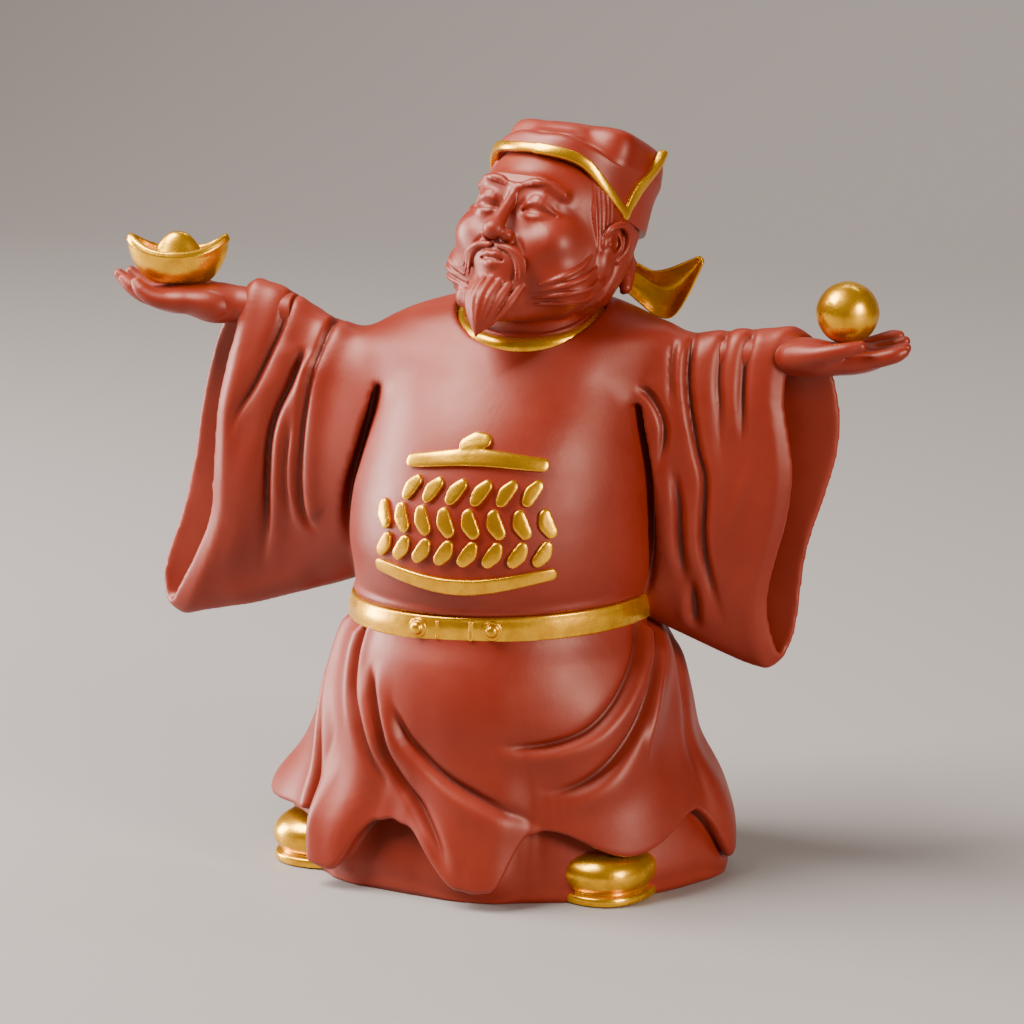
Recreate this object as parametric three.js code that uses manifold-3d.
// A moulded figure of a bearded old man in a wide-sleeved gown and a court hat, arms held out to
// the sides, with a gold ingot on his right palm and a gold ball on his left.
// Millimetres, +Z up. The figure faces -Y and its left arm points along +X. The origin is in the
// middle of the flat underside.
import * as THREE from "three";
import { mergeVertices } from "three/addons/utils/BufferGeometryUtils.js";
import Module from "manifold-3d";

const wasm = await Module();
wasm.setup();

// Driving sizes. The free forms of the figure are drawn in shares of its height, 1/176 each.
const FIGURE_HEIGHT = 176;
const SHARES = 176;

// Belt round the waist, with its studs and plate edges.
const BELT_WIDTH = 5.4;
const BELT_RISE = 1.0;
const BELT_EDGE = 0.35;
const BELT_CREASE = 0.4;
const STUD_WIDTH = 3.8;
const STUD_RISE = 1.7;
const PLATE_EDGE_WIDTH = 1.3;
const PLATE_EDGE_RISE = 0.6;

// Gown: cloth thickness at the hem, hollow of the sleeves, neck band.
const HEM_OVERHANG = 4.4;
const HEM_LIFT = 0.8;
const HEM_FLARE = 2.2;
const CUFF_WALL = 2.4;
const CUFF_DEPTH = 9;
const COLLAR_THICKNESS = 1.9;

// Gold strokes on the belly.
const STROKE_WIDTH = 3.1;
const STROKE_RISE = 1.1;

// Hat.
const HAT_TIER_STEP = 1.9;
const HAT_TRIM_WIDTH = 2.3;
const HAT_TRIM_RISE = 0.6;

// Shoes.
const SHOE_LENGTH = 34;
const SHOE_WIDTH = 23;
const SHOE_HEIGHT = 10.5;
const SOLE_THICKNESS = 2.2;
const SOLE_EDGE = 0.9;

// Things held, and the gap round them in the palms.
const BALL_DIAMETER = 14.2;
const BALL_FLAT = 3.2;
const INGOT_LENGTH = 25.5;
const INGOT_WIDTH = 13.5;
const INGOT_TIP_HEIGHT = 11.2;
const INGOT_WAIST_HEIGHT = 7.2;
const INGOT_DOME_RISE = 5.4;
const SEAT_DEPTH = 0.8;
const SEAT_GAP = 0.3;

const share = (n) => (n * FIGURE_HEIGHT) / SHARES;
const inShares = (size) => size / share(1);
const shares = (rows) => rows.map((row) => row.map(share));
const radians = THREE.MathUtils.degToRad;
const mix = THREE.MathUtils.lerp;
const step = (from, to, x) => {
  const t = THREE.MathUtils.clamp((x - from) / (to - from), 0, 1);
  return t * t * (3 - 2 * t);
};
const bump = (x, width) => Math.exp(-((x / width) ** 2));
const vector = (x, y, z) => new THREE.Vector3(share(x), share(y), share(z));

const RED_CLAY = new THREE.MeshStandardMaterial({ color: 0x9c3a2a, roughness: 0.5, metalness: 0 });
const GOLD_PAINT = new THREE.MeshStandardMaterial({ color: 0xd9a32c, roughness: 0.3, metalness: 0.85 });

// A sphere pulled into shape: place(u, v) gives each point, u round and v from pole to pole.
function pulled(around, along, place) {
  const geometry = new THREE.SphereGeometry(1, around, along);
  geometry.deleteAttribute("normal");
  geometry.deleteAttribute("uv");
  const position = geometry.getAttribute("position");
  let n = 0;
  for (let row = 0; row <= along; row++) {
    for (let column = 0; column <= around; column++) {
      const atPole = row === 0 || row === along;
      const u = atPole ? 0 : (column % around) / around;
      const p = place(u, row / along, row);
      position.setXYZ(n++, p.x, p.y, p.z);
    }
  }
  return geometry;
}

// A closed geometry as a solid with its faces pointing out.
function solid(geometry) {
  const merged = mergeVertices(geometry, 1e-4);
  const triangles = new Uint32Array(merged.index.array);
  const make = () =>
    new wasm.Manifold(
      new wasm.Mesh({
        numProp: 3,
        vertProperties: new Float32Array(merged.attributes.position.array),
        triVerts: triangles,
      }),
    );
  const made = make();
  if (made.volume() > 0) return made;
  for (let i = 0; i < triangles.length; i += 3) {
    [triangles[i + 1], triangles[i + 2]] = [triangles[i + 2], triangles[i + 1]];
  }
  return make();
}

const join = (solids) => solids.reduce((whole, next) => whole.add(next));

function meshOf(made, name, material) {
  const { numProp, vertProperties, triVerts } = made.getMesh();
  const points = new Float32Array((vertProperties.length / numProp) * 3);
  for (let i = 0; i < points.length / 3; i++) {
    points.set(vertProperties.subarray(i * numProp, i * numProp + 3), i * 3);
  }
  const geometry = new THREE.BufferGeometry();
  geometry.setAttribute("position", new THREE.BufferAttribute(points, 3));
  geometry.setIndex(new THREE.BufferAttribute(triVerts, 1));
  geometry.computeVertexNormals();
  const mesh = new THREE.Mesh(geometry, material);
  mesh.name = name;
  return mesh;
}

// The row of a table at a key, on a smooth curve through the rows. The key is each row's first value.
function rowAt(table, key) {
  const last = table.length - 1;
  const clamped = THREE.MathUtils.clamp(key, table[0][0], table[last][0]);
  let i = 0;
  while (i < last - 1 && clamped > table[i + 1][0]) i++;
  const [a, b] = [table[i], table[i + 1]];
  const [before, after] = [table[Math.max(i - 1, 0)], table[Math.min(i + 2, last)]];
  const gap = b[0] - a[0];
  const t = (clamped - a[0]) / gap;
  return a.map((value, n) => {
    const slopeA = ((b[n] - before[n]) / (b[0] - before[0])) * gap;
    const slopeB = ((after[n] - a[n]) / (after[0] - a[0])) * gap;
    return (
      value * (2 * t ** 3 - 3 * t ** 2 + 1) +
      slopeA * (t ** 3 - 2 * t ** 2 + t) +
      b[n] * (3 * t ** 2 - 2 * t ** 3) +
      slopeB * (t ** 3 - t ** 2)
    );
  });
}

// Gown. Each row: height, half width, depth in front, depth behind, middle X, middle Y.
const GOWN = shares([
  [0, 55, 44, 39.5, 0, 0],
  [6, 56, 44, 39.5, 0, 0],
  [15, 55.5, 42.5, 38, 0, 0],
  [25, 50.8, 40, 36, 1.6, 0],
  [35, 46.2, 38.4, 34, 1.4, 0],
  [45, 42.4, 37.5, 32.5, 1, 0],
  [55, 38.4, 37, 31, 0.4, 0],
  [61, 35.7, 36.2, 30.5, 0, 0],
  [66.5, 35.5, 37, 30.5, 0, 0],
  [72, 36.5, 39, 31.5, 0, 0],
  [80, 37, 39.8, 33, 0, 0],
  [90, 36.8, 38.5, 33.5, 0, 0],
  [100, 36.5, 35.2, 33, 0, 0],
  [110, 36.5, 30, 31, 0.5, 0],
  [118, 37, 25, 28, 2, 1],
  [124, 37.5, 21, 25, 4, 1.5],
  [128, 35, 18, 22, 6.5, 2],
  [131, 29, 15.5, 18.5, 6.5, 2.5],
  [134, 20.5, 12.5, 14, 7.5, 3],
  [136.5, 11, 8, 9, 8.5, 3],
]);
const NECKLINE = share(136.5);
const BELT_HEIGHT = share(63.8);
const BELT_TILT = share(1.2);
const ARC_RADIUS = share(40);

// The hem's edge: angle from the front in degrees, towards the figure's left, and height.
const HEM_WAVES = [
  [-180, 11], [-152, 4], [-124, 13], [-92, 15], [-66, 13.5], [-42, 3.5], [-19, 18], [8, 3],
  [23, 17.5], [44, 11], [60, 12.5], [80, 16.5], [101, 4], [126, 12], [150, 4], [180, 11],
];

// Folds of the skirt as arcs in angle and height: start, bend, end, then width and depth.
const SKIRT_FOLDS = [
  { arc: [[-60, 60], [-50, 34], [-42, 3]], width: 3.2, depth: 2.4 },
  { arc: [[-46, 60], [-47, 42], [-20, 27]], width: 3.2, depth: 2.0 },
  { arc: [[-34, 52], [-21, 30], [7, 4]], width: 3.2, depth: 2.2 },
  { arc: [[-23, 46], [-6, 24], [20, 20]], width: 3.6, depth: 2.4 },
  { arc: [[9, 39], [42, 31], [78, 59]], width: 3.6, depth: 2.2 },
  { arc: [[22, 28], [56, 24], [86, 59]], width: 3.6, depth: 2.2 },
  { arc: [[104, 60], [112, 34], [126, 14]], width: 5, depth: 2.2 },
  { arc: [[140, 60], [146, 36], [148, 12]], width: 5, depth: 2.0 },
  { arc: [[-174, 58], [-178, 38], [-178, 14]], width: 5, depth: 2.2 },
  { arc: [[-138, 60], [-142, 36], [-150, 12]], width: 5, depth: 2.0 },
  { arc: [[-96, 60], [-102, 36], [-116, 16]], width: 5, depth: 2.2 },
];

const HEM_LEVEL = share(9);

const hemHeight = (angle) => {
  const degrees = THREE.MathUtils.euclideanModulo(THREE.MathUtils.radToDeg(angle) + 180, 360) - 180;
  const next = HEM_WAVES.findIndex(([at]) => at >= degrees);
  const [b, a] = [HEM_WAVES[Math.max(next, 1)], HEM_WAVES[Math.max(next, 1) - 1]];
  return share(mix(a[1], b[1], (1 - Math.cos((Math.PI * (degrees - a[0])) / (b[0] - a[0]))) / 2));
};

// A point on a smooth surface round the body, lifted off it by proud.
function gownPoint(angle, height, proud = 0) {
  const [, halfWidth, front, back, middleX, middleY] = rowAt(GOWN, height);
  const [s, c] = [Math.sin(angle), Math.cos(angle)];
  const depth = c > 0 ? front : back;
  const out = new THREE.Vector2(s / halfWidth, -c / depth).normalize().multiplyScalar(proud);
  return new THREE.Vector3(middleX + halfWidth * s + out.x, middleY - depth * c + out.y, height);
}

// Points along an arc given as start, bend and end.
function arcPoints([start, bend, end], count) {
  const curve = new THREE.QuadraticBezierCurve(
    new THREE.Vector2(radians(start[0]) * ARC_RADIUS, share(start[1])),
    new THREE.Vector2(radians(bend[0]) * ARC_RADIUS, share(bend[1])),
    new THREE.Vector2(radians(end[0]) * ARC_RADIUS, share(end[1])),
  );
  return curve.getPoints(count);
}

const FOLD_STEPS = 16;
const foldLines = SKIRT_FOLDS.map((fold) => ({ ...fold, points: arcPoints(fold.arc, FOLD_STEPS) }));

// How far the folds and flutes move the skirt out, at an angle and a height.
function skirtRelief(angle, height) {
  const here = new THREE.Vector2(angle * ARC_RADIUS, height);
  let out = 0;
  for (const { points, width, depth } of foldLines) {
    let nearest = Infinity;
    let side = 0;
    let along = 0;
    for (let i = 0; i < FOLD_STEPS; i++) {
      const run = points[i + 1].clone().sub(points[i]);
      const from = here.clone().sub(points[i]);
      const t = THREE.MathUtils.clamp(from.dot(run) / run.lengthSq(), 0, 1);
      const distance = from.clone().addScaledVector(run, -t).length();
      if (distance < nearest) {
        nearest = distance;
        side = Math.sign(run.cross(from));
        along = (i + t) / FOLD_STEPS;
      }
    }
    const fade = step(0, 0.2, along) * step(1.05, 0.8, along);
    const across = (nearest * side) / share(width);
    const ridge = bump(across - 1.7, 1.2) + bump(across + 1.7, 1.2);
    out += share(depth) * fade * (0.45 * ridge - bump(across, 0.9));
  }
  // The cloth stands out where the hem hangs low and draws in where it lifts.
  const hem = hemHeight(angle);
  const low = step(BELT_HEIGHT, hem, height);
  return out + (low ** 2 * HEM_FLARE * (HEM_LEVEL - hem)) / HEM_LEVEL;
}

const FRONT_CROWDING = 0.45;
const GOWN_COLUMNS = 50;
const TORSO_ROWS = 9;
const TORSO_FIRST = 0.35;
const TORSO_CROWDING = 1.25;
const SKIRT_ROWS = 10;
const DRUM_WAVE = 0.4;
const NECK_MIDDLE = [8.5, 3];

// Torso, belt, skirt, hem and the drum inside it, down to the flat underside.
function gown() {
  const beltMiddle = (angle) => BELT_HEIGHT + BELT_TILT * Math.sin(angle);
  const beltTop = (angle) => beltMiddle(angle) + BELT_WIDTH / 2;
  const beltFoot = (angle) => beltMiddle(angle) - BELT_WIDTH / 2;
  const levels = [() => [NECKLINE, 0]];
  for (let i = 0; i < TORSO_ROWS; i++) {
    const t = 1 - (1 - (i + TORSO_FIRST) / TORSO_ROWS) ** TORSO_CROWDING;
    levels.push((angle) => [mix(NECKLINE, beltTop(angle) + BELT_EDGE, t), 0]);
  }
  levels.push((angle) => [beltTop(angle) + BELT_EDGE, -BELT_CREASE]);
  levels.push((angle) => [beltTop(angle), BELT_RISE]);
  levels.push((angle) => [beltFoot(angle), BELT_RISE]);
  levels.push((angle) => [beltFoot(angle) - BELT_EDGE, -BELT_CREASE]);
  for (let i = 1; i <= SKIRT_ROWS; i++) {
    levels.push((angle) => {
      const height = mix(beltFoot(angle) - BELT_EDGE, hemHeight(angle), i / SKIRT_ROWS);
      return [height, skirtRelief(angle, height)];
    });
  }
  levels.push((angle) => {
    const height = hemHeight(angle);
    return [height + HEM_LIFT, skirtRelief(angle, height) - HEM_OVERHANG];
  });
  levels.push((angle) => [0, skirtRelief(angle, hemHeight(angle)) * DRUM_WAVE - HEM_OVERHANG]);
  levels.push(() => [0, 0]);
  return pulled(GOWN_COLUMNS, levels.length - 1, (u, v, row) => {
    if (row === 0) return new THREE.Vector3(...NECK_MIDDLE.map(share), NECKLINE);
    if (row === levels.length - 1) return new THREE.Vector3(0, 0, 0);
    const turn = (u - 0.5) * 2 * Math.PI;
    const angle = turn - FRONT_CROWDING * Math.sin(turn);
    const [height, proud] = levels[row](angle);
    return gownPoint(angle, height, proud);
  });
}

// A raised stroke that follows the gown: an arc in angle and height, rounded at its ends.
function gownStroke(arc, width, rise, around = 4, along = 4) {
  const points = arcPoints(arc, along);
  return pulled(around, along, (u, v, row) => {
    const here = points[row];
    const run = points[Math.min(row + 1, along)].clone().sub(points[Math.max(row - 1, 0)]).normalize();
    const full = Math.sin(Math.PI * v) ** 0.3;
    const across = Math.cos(2 * Math.PI * u) * (width / 2) * full;
    const proud = rise * full * (0.25 + 0.75 * Math.sin(2 * Math.PI * u));
    return gownPoint((here.x - run.y * across) / ARC_RADIUS, here.y + run.x * across, proud);
  });
}

// The emblem: rows of strokes between two angles. Each stroke runs so far round and so far up,
// every second one the other way, with a bow in its middle.
const EMBLEM_ROWS = [
  { height: 105.4, from: 3, to: 11, strokes: 1, round: 4, up: 2.4, bow: 0.5 },
  { height: 100, from: -19, to: 33, strokes: 2, round: 21, up: 2.2, bow: 1.2 },
  { height: 94.2, from: -12, to: 26, strokes: 2, round: 12, up: 4, bow: -0.8 },
  { height: 87.2, from: -30, to: 37, strokes: 4, round: 7, up: 6, bow: 0.6 },
  { height: 79.6, from: -27, to: 35, strokes: 4, round: -7, up: 5, bow: -0.6 },
  { height: 74.8, from: -29, to: 39, strokes: 1, round: 62, up: 0.4, bow: -2.6 },
];

function emblemStrokes() {
  return EMBLEM_ROWS.flatMap(({ height, from, to, strokes, round, up, bow }) =>
    Array.from({ length: strokes }, (_, i) => {
      const middle = mix(from, to, (i + 0.5) / strokes);
      const way = i % 2 ? -1 : 1;
      const arc = [
        [middle - round / 2, height - (way * up) / 2],
        [middle, height + bow * 2],
        [middle + round / 2, height + (way * up) / 2],
      ];
      return solid(gownStroke(arc, STROKE_WIDTH, STROKE_RISE, 4, round > 40 ? 7 : 4));
    }),
  );
}

// Studs and plate edges, at angles round the belt.
const STUD_ANGLES = [-15, 15];
const PLATE_EDGE_ANGLES = [-6.5, 9];

function beltPieces() {
  const middle = inShares(BELT_HEIGHT);
  const halfStud = inShares(STUD_WIDTH / 2);
  const studs = STUD_ANGLES.map((angle) =>
    gownStroke(
      [[angle, middle - halfStud], [angle, middle], [angle, middle + halfStud]],
      STUD_WIDTH, BELT_RISE + STUD_RISE, 6, 5,
    ),
  );
  const halfPlate = inShares(BELT_WIDTH / 2);
  const edges = PLATE_EDGE_ANGLES.map((angle) =>
    gownStroke(
      [[angle, middle - halfPlate], [angle, middle], [angle, middle + halfPlate]],
      PLATE_EDGE_WIDTH, BELT_RISE + PLATE_EDGE_RISE,
    ),
  );
  return [...studs, ...edges].map(solid);
}

// Sleeves. The top and bottom lines give a height for each distance out from the middle. Each row
// of the edge says how far out the cuff reaches in front and behind, from its top to its bottom.
const SLEEVES = [
  {
    outward: -1,
    top: shares([[18, 124], [38.6, 126.8], [45, 130.2], [52, 134], [62, 136.6], [90, 137]]),
    bottom: shares([[16, 74], [37.5, 65], [51, 61], [66, 56.7], [77, 54.7], [90, 54]]),
    edge: [
      [0, 62, 63], [0.08, 62.4, 70], [0.28, 65, 74.5], [0.46, 68.3, 77.5], [0.63, 69.5, 80.5],
      [0.78, 72.5, 84.2], [0.92, 81, 89], [1, 86, 86],
    ],
    folds: 2.6,
    lean: 0.5,
  },
  {
    outward: 1,
    top: shares([[18, 124], [38, 128.6], [46.7, 128.2], [58, 129.4], [68, 130.4], [90, 130.6]]),
    bottom: shares([[16, 72], [37.7, 60.6], [46, 57], [56, 52.9], [64, 51.2], [90, 51]]),
    edge: [
      [0, 70, 71], [0.07, 67.6, 77], [0.19, 67.9, 79.2], [0.43, 71, 78.4], [0.6, 69, 75],
      [0.77, 65, 70.7], [0.92, 66, 69.2], [1, 66, 66.5],
    ],
    folds: 3.4,
    lean: 0.1,
  },
];
const SLEEVE_ROOT = 17;
const SLEEVE_LENGTH = 56;
const SLEEVE_CORE = share(40);
const SLEEVE_HALF_THICKNESS = { body: 17.5, cuff: 8.6 };
const SLEEVE_COLUMNS = 20;
const SLEEVE_ROWS = 10;
const SLEEVE_FOLD_DEPTH = 1.4;

function sleeve({ outward, top, bottom, edge, folds, lean }) {
  const { body, cuff } = SLEEVE_HALF_THICKNESS;

  // The point on ring s, from 0 in the body to 1 at the cuff, at turn a: 0 on top, a quarter in front.
  function onRing(s, a, inset) {
    const down = (1 - Math.cos(a)) / 2;
    const across = Math.sign(Math.sin(a)) * Math.abs(Math.sin(a)) ** 0.75;
    const [, front, rear] = rowAt(edge, down);
    const reach = share(mix(SLEEVE_ROOT, mix(front, rear, (1 - across) / 2), s));
    const roof = rowAt(top, reach)[1] - inset;
    const floor = rowAt(bottom, reach)[1] + inset;
    const ripple = Math.sin(2 * Math.PI * folds * (s - lean * down * (1 - s)));
    const shown = step(0.15, 0.4, s) * step(1, 0.88, s) * across;
    const half = share(mix(body, cuff, step(0, 0.8, s)) * mix(1, 0.72, down ** 2));
    return new THREE.Vector3(
      outward * reach,
      share(-1) - across * Math.max(half - inset, share(1)) - share(SLEEVE_FOLD_DEPTH) * ripple * shown,
      mix(roof, floor, down),
    );
  }
  const rings = [
    ...Array.from({ length: SLEEVE_ROWS }, (_, i) => [i / (SLEEVE_ROWS - 1), 0]),
    [1, CUFF_WALL],
    [1 - CUFF_DEPTH / share(SLEEVE_LENGTH), CUFF_WALL * 1.4],
  ];
  return pulled(SLEEVE_COLUMNS, rings.length + 1, (u, v, row) => {
    if (row === 0) return onRing(0, Math.PI / 2, SLEEVE_CORE);
    if (row > rings.length) return onRing(rings[rings.length - 1][0], Math.PI / 2, SLEEVE_CORE);
    const [s, inset] = rings[row - 1];
    return onRing(s, 2 * Math.PI * u, inset);
  });
}

// A rounded limb along a curve, with half width and half thickness at its start and end.
function limb(points, start, end, around = 8, along = 6, up = new THREE.Vector3(0, 0, 1)) {
  const curve = new THREE.CatmullRomCurve3(points.map((p) => vector(...p)));
  return pulled(around, along, (u, v) => {
    const t = THREE.MathUtils.clamp(v, 0, 1);
    const forward = curve.getTangent(t);
    const side = forward.clone().cross(up).normalize();
    const lift = side.clone().cross(forward);
    const full = Math.sin(Math.PI * v) ** 0.45;
    const [wide, thick] = [mix(start[0], end[0], t), mix(start[1], end[1], t)].map(share);
    const a = 2 * Math.PI * u;
    return curve
      .getPoint(t)
      .addScaledVector(side, Math.cos(a) * wide * full)
      .addScaledVector(lift, Math.sin(a) * thick * full);
  });
}

// Hands, palm up: the places of wrist, palm, fingers and thumb.
const HANDS = [
  {
    wrist: [[-54, -2, 130], [-62, -2, 131], [-72, -2, 131]],
    palm: [[-66, -2, 130.5], [-77, -2, 130], [-88, -2, 131.2]],
    root: [-80, -2, 130.8],
    tip: [-96.5, -2, 136],
    thumb: [[-70, 2, 130.5], [-79, 8, 132.5], [-85, 8.6, 136]],
  },
  {
    wrist: [[58, -2, 126], [68, -2, 126.2], [78, -2, 125]],
    palm: [[72, -2, 125.4], [82, -2, 124.2], [92, -2, 124.8]],
    root: [84, -2, 124.6],
    tip: [97.5, -2, 127.6],
    thumb: [[73, -5, 125.4], [82, -10.2, 126.2], [89.5, -9.5, 129.4]],
  },
];
const FINGER_OFFSETS = [-5.1, -1.8, 1.6, 4.8];
const FINGER_REACH = [0.84, 0.97, 1, 0.9];
const FINGER_SPREAD = 1.2;
const FINGER_RADII = [2.1, 1.5];

function hand({ wrist, palm, root, tip, thumb }) {
  const [x, y, z] = root;
  const [thick, thin] = FINGER_RADII;
  const fingers = FINGER_OFFSETS.map((offset, i) => {
    const reach = (along) => mix(x, tip[0], FINGER_REACH[i] * along);
    const lift = (along) => mix(z, tip[2], FINGER_REACH[i] * along);
    const points = [
      [x, y + offset * 0.9, z],
      [reach(0.55), y + offset * 1.1, lift(0.3)],
      [reach(1), y + offset * FINGER_SPREAD, lift(1)],
    ];
    return limb(points, [thick, thick], [thin, thin], 5, 4);
  });
  return join(
    [
      limb(wrist, [4.6, 4.0], [4.8, 3.8], 8, 4),
      limb(palm, [6.4, 3.8], [7.4, 2.8], 8, 5),
      limb(thumb, [2.9, 2.5], [1.7, 1.5], 5, 4),
      ...fingers,
    ].map(solid),
  );
}

// Head. Its forms are drawn round the middle of the skull, facing -Y, then turned and placed.
const HEAD_MIDDLE = [11.9, 0, 150.1];
const HEAD_TURN = 18;
const HEAD_TILT = 22;
const HEAD_LEAN = 2;
const SKULL = [18.3, 19, 20.5];

const headPlace = new THREE.Matrix4()
  .makeTranslation(vector(...HEAD_MIDDLE))
  .multiply(
    new THREE.Matrix4().makeRotationFromEuler(
      new THREE.Euler(-radians(HEAD_TILT), radians(HEAD_LEAN), -radians(HEAD_TURN), "ZXY"),
    ),
  );

// A point on the skull, from the angle round it and the share of the way down.
function skullPoint(angle, down, proud = 0) {
  const level = Math.cos(Math.PI * down);
  const ring = level > 0 ? Math.sqrt(1 - level ** 6) : Math.sin(Math.PI * down);
  const front = Math.max(Math.cos(angle), 0);
  const [halfWidth, depth, height] = SKULL.map(share);
  const cheek = bump(Math.abs(angle) - radians(50), radians(42)) * bump(level + 0.36, 0.4);
  const chin = level < 0 ? 0.1 * front * bump(level + 0.72, 0.3) : 0;
  const full = 1 + 0.13 * cheek + chin;
  return new THREE.Vector3(
    Math.sin(angle) * ring * (halfWidth * full + proud),
    -Math.cos(angle) * ring * (depth * mix(1, 0.95, front) * full + proud),
    level * (height + proud),
  );
}

// A raised strand on the skull: an arc in angle and share of the way down.
function strand(arc, width, rise) {
  const curve = new THREE.QuadraticBezierCurve(
    ...arc.map(([angle, down]) => new THREE.Vector2(radians(angle), down)),
  );
  const roundness = share(SKULL[0]);
  return pulled(4, 4, (u, v) => {
    const here = curve.getPoint(v);
    const run = curve.getTangent(v);
    run.set(run.x * roundness, run.y * Math.PI * roundness).normalize();
    const full = Math.sin(Math.PI * v) ** 0.6;
    const across = Math.cos(2 * Math.PI * u) * (share(width) / 2) * full;
    const proud = Math.sin(2 * Math.PI * u) * share(rise) * full;
    return skullPoint(
      here.x - (run.y * across) / roundness,
      here.y + (run.x * across) / (Math.PI * roundness),
      proud,
    );
  });
}

// Hair, brows, moustache and the long whiskers along the jaw, as strands in pairs.
const STRANDS = [
  { arc: [[9, 0.43], [24, 0.37], [40, 0.44]], width: 2.2, rise: 1.2 },
  { arc: [[10, 0.5], [21, 0.475], [31, 0.505]], width: 1.5, rise: 0.9 },
  { arc: [[4, 0.635], [21, 0.63], [22, 0.79]], width: 2.1, rise: 1.7 },
  { arc: [[62, 0.3], [71, 0.4], [74, 0.54]], width: 3.6, rise: 1.3 },
  { arc: [[78, 0.63], [66, 0.8], [22, 0.79]], width: 2.4, rise: 1.4 },
  { arc: [[83, 0.66], [72, 0.87], [24, 0.84]], width: 2.4, rise: 1.5 },
  { arc: [[86, 0.7], [78, 0.93], [30, 0.89]], width: 2.4, rise: 1.5 },
];

function strands() {
  const mirrored = (arc) => arc.map(([angle, down]) => [-angle, down]);
  return STRANDS.flatMap(({ arc, width, rise }) => [
    solid(strand(arc, width, rise)),
    solid(strand(mirrored(arc), width, rise)),
  ]);
}

// Nose, lips and ears, each a rounded form let into the skull.
function face() {
  const lips = [
    { height: -10.6, depth: -17.2, half: 0.9 },
    { height: -12.4, depth: -16.9, half: 1.1 },
  ].map(({ height, depth, half }) =>
    limb([[-3.6, depth + 1.8, height - 0.2], [0, depth, height], [3.6, depth + 1.8, height - 0.2]],
      [half, half], [half, half], 6, 5),
  );
  const ears = [-1, 1].map((side) =>
    limb([[side * 18.2, -1.6, 4.6], [side * 20.2, 0.8, -1.2], [side * 19.2, 1.6, -9.4]],
      [3.7, 1.9], [2.1, 1.7], 7, 6, new THREE.Vector3(side, 0, 0)),
  );
  const bridge = limb([[0, -16.6, 2.6], [0, -19.2, -2.4], [0, -20.4, -6.4]], [1.4, 1.4], [2.5, 2.3], 7, 6);
  const wings = limb([[-3.1, -17, -6.9], [0, -19.2, -7], [3.1, -17, -6.9]], [1.5, 1.5], [1.5, 1.5], 6, 5);
  return [bridge, wings, ...lips, ...ears].map(solid);
}

// The chin beard: a cone that curves to a point, scored into locks.
const BEARD = { root: [0, -11, -11], bend: [0, -19.5, -19], tip: [0, -18, -29.8], half: [7.2, 4.8] };
const BEARD_LOCKS = 6;

function beard() {
  const curve = new THREE.QuadraticBezierCurve3(
    vector(...BEARD.root), vector(...BEARD.bend), vector(...BEARD.tip));
  return pulled(12, 7, (u, v) => {
    const a = 2 * Math.PI * u;
    const full = Math.min(1, 0.75 + v) * (1 - v) ** 0.62;
    const lock = 1 + 0.07 * Math.cos(BEARD_LOCKS * a) * step(0.1, 0.3, v);
    const centre = curve.getPoint(v);
    return new THREE.Vector3(
      centre.x + Math.cos(a) * share(BEARD.half[0]) * full * lock * (v === 0 ? 0 : 1),
      centre.y + Math.sin(a) * share(BEARD.half[1]) * full * lock * (v === 0 ? 0 : 1),
      centre.z,
    );
  });
}

// Hat: a crown on a lower tier, set back on the head. The brim dips over each ear to a low point,
// where the back of the hat begins, and a gold edge climbs from there.
const HAT = { middle: 4.2, half: [18.6, 20.2], squareness: 0.84 };
const BRIM = { front: 16.4, low: 6.6, back: -4, lowAngle: 86, sweep: 2.3 };
const TIER = { front: 20.2, side: 17 };
const CROWN = { front: 23.4, side: 25.2, setBack: 1.9 };
const HAT_BACK_ANGLE = 112;
const HAT_SIDE_ANGLE = 80;

function brimHeight(angle) {
  const turned = Math.abs(angle);
  const low = radians(BRIM.lowAngle);
  if (turned < low) return share(mix(BRIM.front, BRIM.low, (turned / low) ** BRIM.sweep));
  return share(mix(BRIM.low, BRIM.back, step(low, Math.PI, turned)));
}

function hatPoint(angle, height, proud) {
  const square = (value) => Math.sign(value) * Math.abs(value) ** HAT.squareness;
  return new THREE.Vector3(
    square(Math.sin(angle)) * (share(HAT.half[0]) + proud),
    share(HAT.middle) - square(Math.cos(angle)) * (share(HAT.half[1]) + proud),
    height,
  );
}

function hat() {
  const sideways = (angle) => step(0, radians(HAT_SIDE_ANGLE), Math.abs(angle));
  const crown = (angle) => share(mix(CROWN.front, CROWN.side, sideways(angle)));
  const tier = (angle) => share(mix(TIER.front, TIER.side, sideways(angle)));
  const back = (angle) => step(radians(BRIM.lowAngle), radians(HAT_BACK_ANGLE), Math.abs(angle));
  const inset = (angle, by) => -share(by) * (1 - back(angle));
  const rows = [
    (angle) => [crown(angle), -share(CROWN.setBack + 1.6)],
    (angle) => [crown(angle) - share(1.3), inset(angle, CROWN.setBack)],
    (angle) => [tier(angle), inset(angle, HAT_TIER_STEP)],
    (angle) => [tier(angle) - share(0.6), inset(angle, 0.3)],
    (angle) => [brimHeight(angle) + HAT_TRIM_WIDTH, 0],
    (angle) => [brimHeight(angle) + HAT_TRIM_WIDTH * 0.8, HAT_TRIM_RISE],
    (angle) => [brimHeight(angle), HAT_TRIM_RISE],
    (angle) => [brimHeight(angle) + share(0.3), -share(4)],
  ];
  return pulled(24, rows.length + 1, (u, v, row) => {
    if (row === 0) return new THREE.Vector3(0, share(HAT.middle), share(CROWN.side));
    if (row > rows.length) return new THREE.Vector3(0, share(HAT.middle), share(10));
    const angle = (u - 0.5) * 2 * Math.PI;
    return hatPoint(angle, ...rows[row - 1](angle));
  });
}

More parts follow.
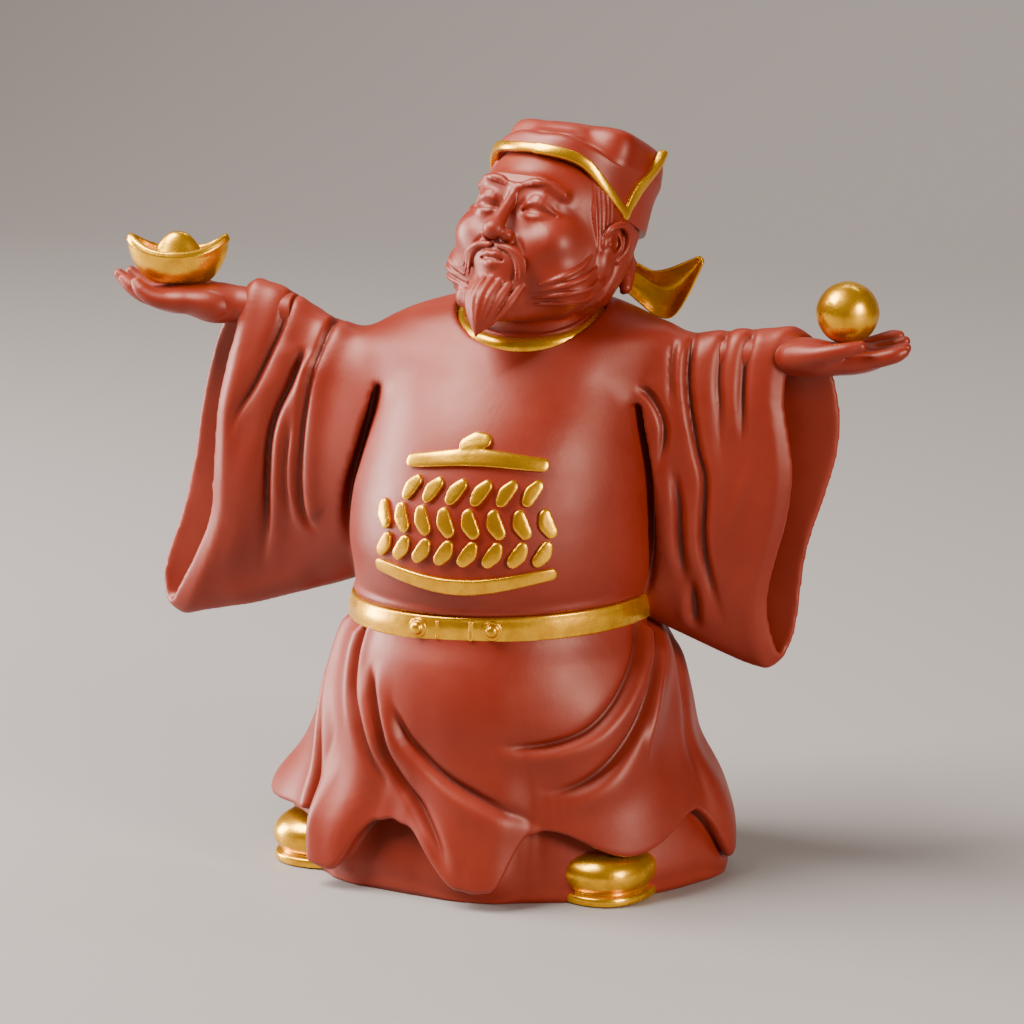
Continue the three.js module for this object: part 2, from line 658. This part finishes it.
// The gold edge that climbs from the brim's low point to the crown, at the back of each side.
function hatEdge(side) {
  const from = radians(BRIM.lowAngle - 1);
  const to = radians(HAT_BACK_ANGLE);
  const [low, high] = [share(BRIM.low + 0.4), share(CROWN.side - 1.4)];
  return pulled(5, 5, (u, v) => {
    const angle = side * mix(from, to, v ** 1.5);
    const full = Math.sin(Math.PI * v) ** 0.3;
    const across = Math.cos(2 * Math.PI * u) * (HAT_TRIM_WIDTH / 2) * full;
    const proud = Math.sin(2 * Math.PI * u) * HAT_TRIM_RISE * 2 * full;
    return hatPoint(angle + across / share(HAT.half[0]), mix(low, high, v), proud);
  });
}

// Ribbon tails of the hat: leaf shapes that curl up to a point, one behind each ear. The right
// one swings further forward.
const TAIL = {
  spine: [[16, 8, -4], [21.5, 12, -7], [27.5, 14.5, -7], [32.6, 14.6, 2.6]],
  half: [5.6, 1.7],
};
const TAIL_SWING = { left: 0, right: -3 };

function tail(side, swing) {
  const spine = new THREE.CatmullRomCurve3(TAIL.spine.map(([x, y, z]) => vector(side * x, y, z)));
  return pulled(8, 7, (u, v) => {
    const forward = spine.getTangent(v);
    const lift = new THREE.Vector3(0, 1, 0).cross(forward).normalize();
    const a = 2 * Math.PI * u;
    const broad = Math.min(1, (0.55 + 1.5 * v) * (1 - v) ** 0.6 * 1.35);
    const ends = v === 0 ? 0 : 1;
    const cupped = Math.cos(a) ** 2 * share(1.4) * broad;
    return spine
      .getPoint(v)
      .addScaledVector(lift, Math.cos(a) * share(TAIL.half[0]) * broad * ends)
      .add(new THREE.Vector3(0, (Math.sin(a) * share(TAIL.half[1]) * broad - cupped) * ends, 0))
      .applyAxisAngle(new THREE.Vector3(0, 0, 1), side * -radians(swing));
  });
}

function head() {
  const skull = pulled(18, 12, (u, v) => skullPoint((u - 0.5) * 2 * Math.PI, v));
  const tails = [tail(1, TAIL_SWING.left), tail(-1, TAIL_SWING.right)];
  const parts = [skull, beard(), hat(), hatEdge(-1), hatEdge(1), ...tails].map(solid);
  return join([...parts, ...face(), ...strands()]).transform(headPlace.elements);
}

// Neck and the round gold band of the neckline.
const COLLAR = { middle: [8.5, -2, 130.8], radius: 16.2, slope: 19 };
const NECK_RADIUS = 14.4;

function neck() {
  const [x, y, z] = COLLAR.middle;
  return solid(
    limb([[x, y + 3, z - 14], [x + 1, y + 1, z + 2], [x + 3, y + 1, z + 14]],
      [NECK_RADIUS, NECK_RADIUS], [NECK_RADIUS, NECK_RADIUS], 14, 5, new THREE.Vector3(0, -1, 0)),
  );
}

function collar() {
  const ring = new THREE.TorusGeometry(share(COLLAR.radius), COLLAR_THICKNESS, 5, 24);
  ring.deleteAttribute("normal");
  ring.deleteAttribute("uv");
  ring.scale(1, 0.95, 1.1);
  ring.rotateX(radians(COLLAR.slope));
  ring.translate(...vector(...COLLAR.middle).toArray());
  return solid(ring);
}

// Shoes: middle of each on the ground, and the way its toe points.
const SHOES = [
  { middle: [-36.6, -11.4], toe: 52 },
  { middle: [29, -20], toe: -22 },
];

function shoe({ middle, toe }) {
  const rows = [
    [SHOE_HEIGHT, 0],
    [SHOE_HEIGHT * 0.97, 0.45],
    [SHOE_HEIGHT * 0.85, 0.72],
    [SHOE_HEIGHT * 0.6, 0.92],
    [SOLE_THICKNESS * 1.35, 0.96],
    [SOLE_THICKNESS, 0.9],
    [SOLE_THICKNESS * 0.85, 1],
    [0, 0.98],
    [0, 0],
  ];
  const turn = radians(toe);
  return solid(
    pulled(14, rows.length - 1, (u, v, row) => {
      const a = 2 * Math.PI * u;
      const [height, spread] = rows[row];
      const edge = row === 6 || row === 7 ? SOLE_EDGE : 0;
      const narrow = 1 - 0.1 * Math.sin(a);
      const x = Math.cos(a) * ((SHOE_WIDTH / 2) * spread + edge) * narrow;
      const y = -Math.sin(a) * ((SHOE_LENGTH / 2) * spread + edge);
      return new THREE.Vector3(
        share(middle[0]) + x * Math.cos(turn) + y * Math.sin(turn),
        share(middle[1]) - x * Math.sin(turn) + y * Math.cos(turn),
        height,
      );
    }),
  );
}

// The ball, with a small flat where it sits. Its seat is the middle of the left palm.
const BALL_SEAT = [83, -2, 127.3];

function ball(grow = 0) {
  const radius = BALL_DIAMETER / 2;
  const flatAngle = Math.asin(BALL_FLAT / BALL_DIAMETER);
  const floor = radius * Math.cos(flatAngle);
  const rows = 10;
  const geometry = pulled(18, rows, (u, v, row) => {
    if (row === rows) return new THREE.Vector3(0, 0, -floor - grow);
    const polar = ((Math.PI - flatAngle) * row) / (rows - 1);
    const ring = (radius + grow) * Math.sin(polar);
    const a = 2 * Math.PI * u;
    const height = row === rows - 1 ? -floor - grow : (radius + grow) * Math.cos(polar);
    return new THREE.Vector3(ring * Math.cos(a), ring * Math.sin(a), height);
  });
  const seat = vector(...BALL_SEAT);
  geometry.translate(seat.x, seat.y, seat.z + floor - SEAT_DEPTH);
  return solid(geometry);
}

// The boat-shaped ingot: a hull with raised ends and a dome in the middle. It sits on the right palm.
const INGOT_SEAT = [-79.5, -2, 134];
const INGOT_TURN = 14;

function ingotPoint(u, level) {
  const a = 2 * Math.PI * u;
  const ends = Math.abs(Math.cos(a)) ** 2.4;
  const rim = mix(INGOT_WAIST_HEIGHT, INGOT_TIP_HEIGHT, ends);
  const spread = mix(0.42, 1, Math.sin((Math.PI / 2) * level) ** 0.8);
  return new THREE.Vector3(
    Math.cos(a) * (INGOT_LENGTH / 2) * spread,
    Math.sin(a) * (INGOT_WIDTH / 2) * spread,
    rim * level ** 1.15,
  );
}

function ingot(grow = 0) {
  const domeRows = [[1, 0, 0], [0.93, 0.2, 0], [0.66, 0.42, 0], [0.12, 0.56, 0]];
  const rimInset = 0.86;
  const sunk = 0.8;
  const wallRows = [1, 0.82, 0.6, 0.38, 0.18, 0];
  const rows = domeRows.length + 1 + wallRows.length + 1;
  const seat = vector(...INGOT_SEAT);
  const geometry = pulled(20, rows - 1, (u, v, row) => {
    if (row < domeRows.length) {
      const [lift, out] = domeRows[row];
      const a = 2 * Math.PI * u;
      const floor = INGOT_WAIST_HEIGHT * sunk;
      return new THREE.Vector3(
        Math.cos(a) * (INGOT_LENGTH / 2) * out,
        Math.sin(a) * (INGOT_WIDTH / 2) * out * 1.25,
        floor + INGOT_DOME_RISE * lift * (out < 0.5 ? 1 : 0.6),
      );
    }
    if (row === domeRows.length) {
      const p = ingotPoint(u, 1);
      return new THREE.Vector3(p.x * rimInset, p.y * rimInset, p.z - INGOT_WAIST_HEIGHT * 0.1);
    }
    if (row === rows - 1) return new THREE.Vector3(0, 0, -grow);
    const p = ingotPoint(u, wallRows[row - domeRows.length - 1]);
    const out = new THREE.Vector2(p.x, p.y).normalize().multiplyScalar(grow);
    return new THREE.Vector3(p.x + out.x, p.y + out.y, p.z - grow);
  });
  geometry.rotateZ(radians(INGOT_TURN));
  geometry.translate(seat.x, seat.y, seat.z - SEAT_DEPTH);
  return solid(geometry);
}

// One moulded piece: gown, sleeves, hands, head, hat, belt, collar, strokes and shoes. The ball and
// the ingot each sit in a shallow seat cut to their own shape, a gap larger.
function figure() {
  const whole = join([
    solid(gown()),
    ...SLEEVES.map((form) => solid(sleeve(form))),
    ...HANDS.map(hand),
    neck(),
    collar(),
    head(),
    ...beltPieces(),
    ...emblemStrokes(),
    ...SHOES.map(shoe),
  ]);
  return whole.subtract(ball(SEAT_GAP)).subtract(ingot(SEAT_GAP));
}

const model = new THREE.Group();
model.add(
  meshOf(figure(), "figure", RED_CLAY),
  meshOf(ingot(), "ingot", GOLD_PAINT),
  meshOf(ball(), "ball", GOLD_PAINT),
);

export default model;
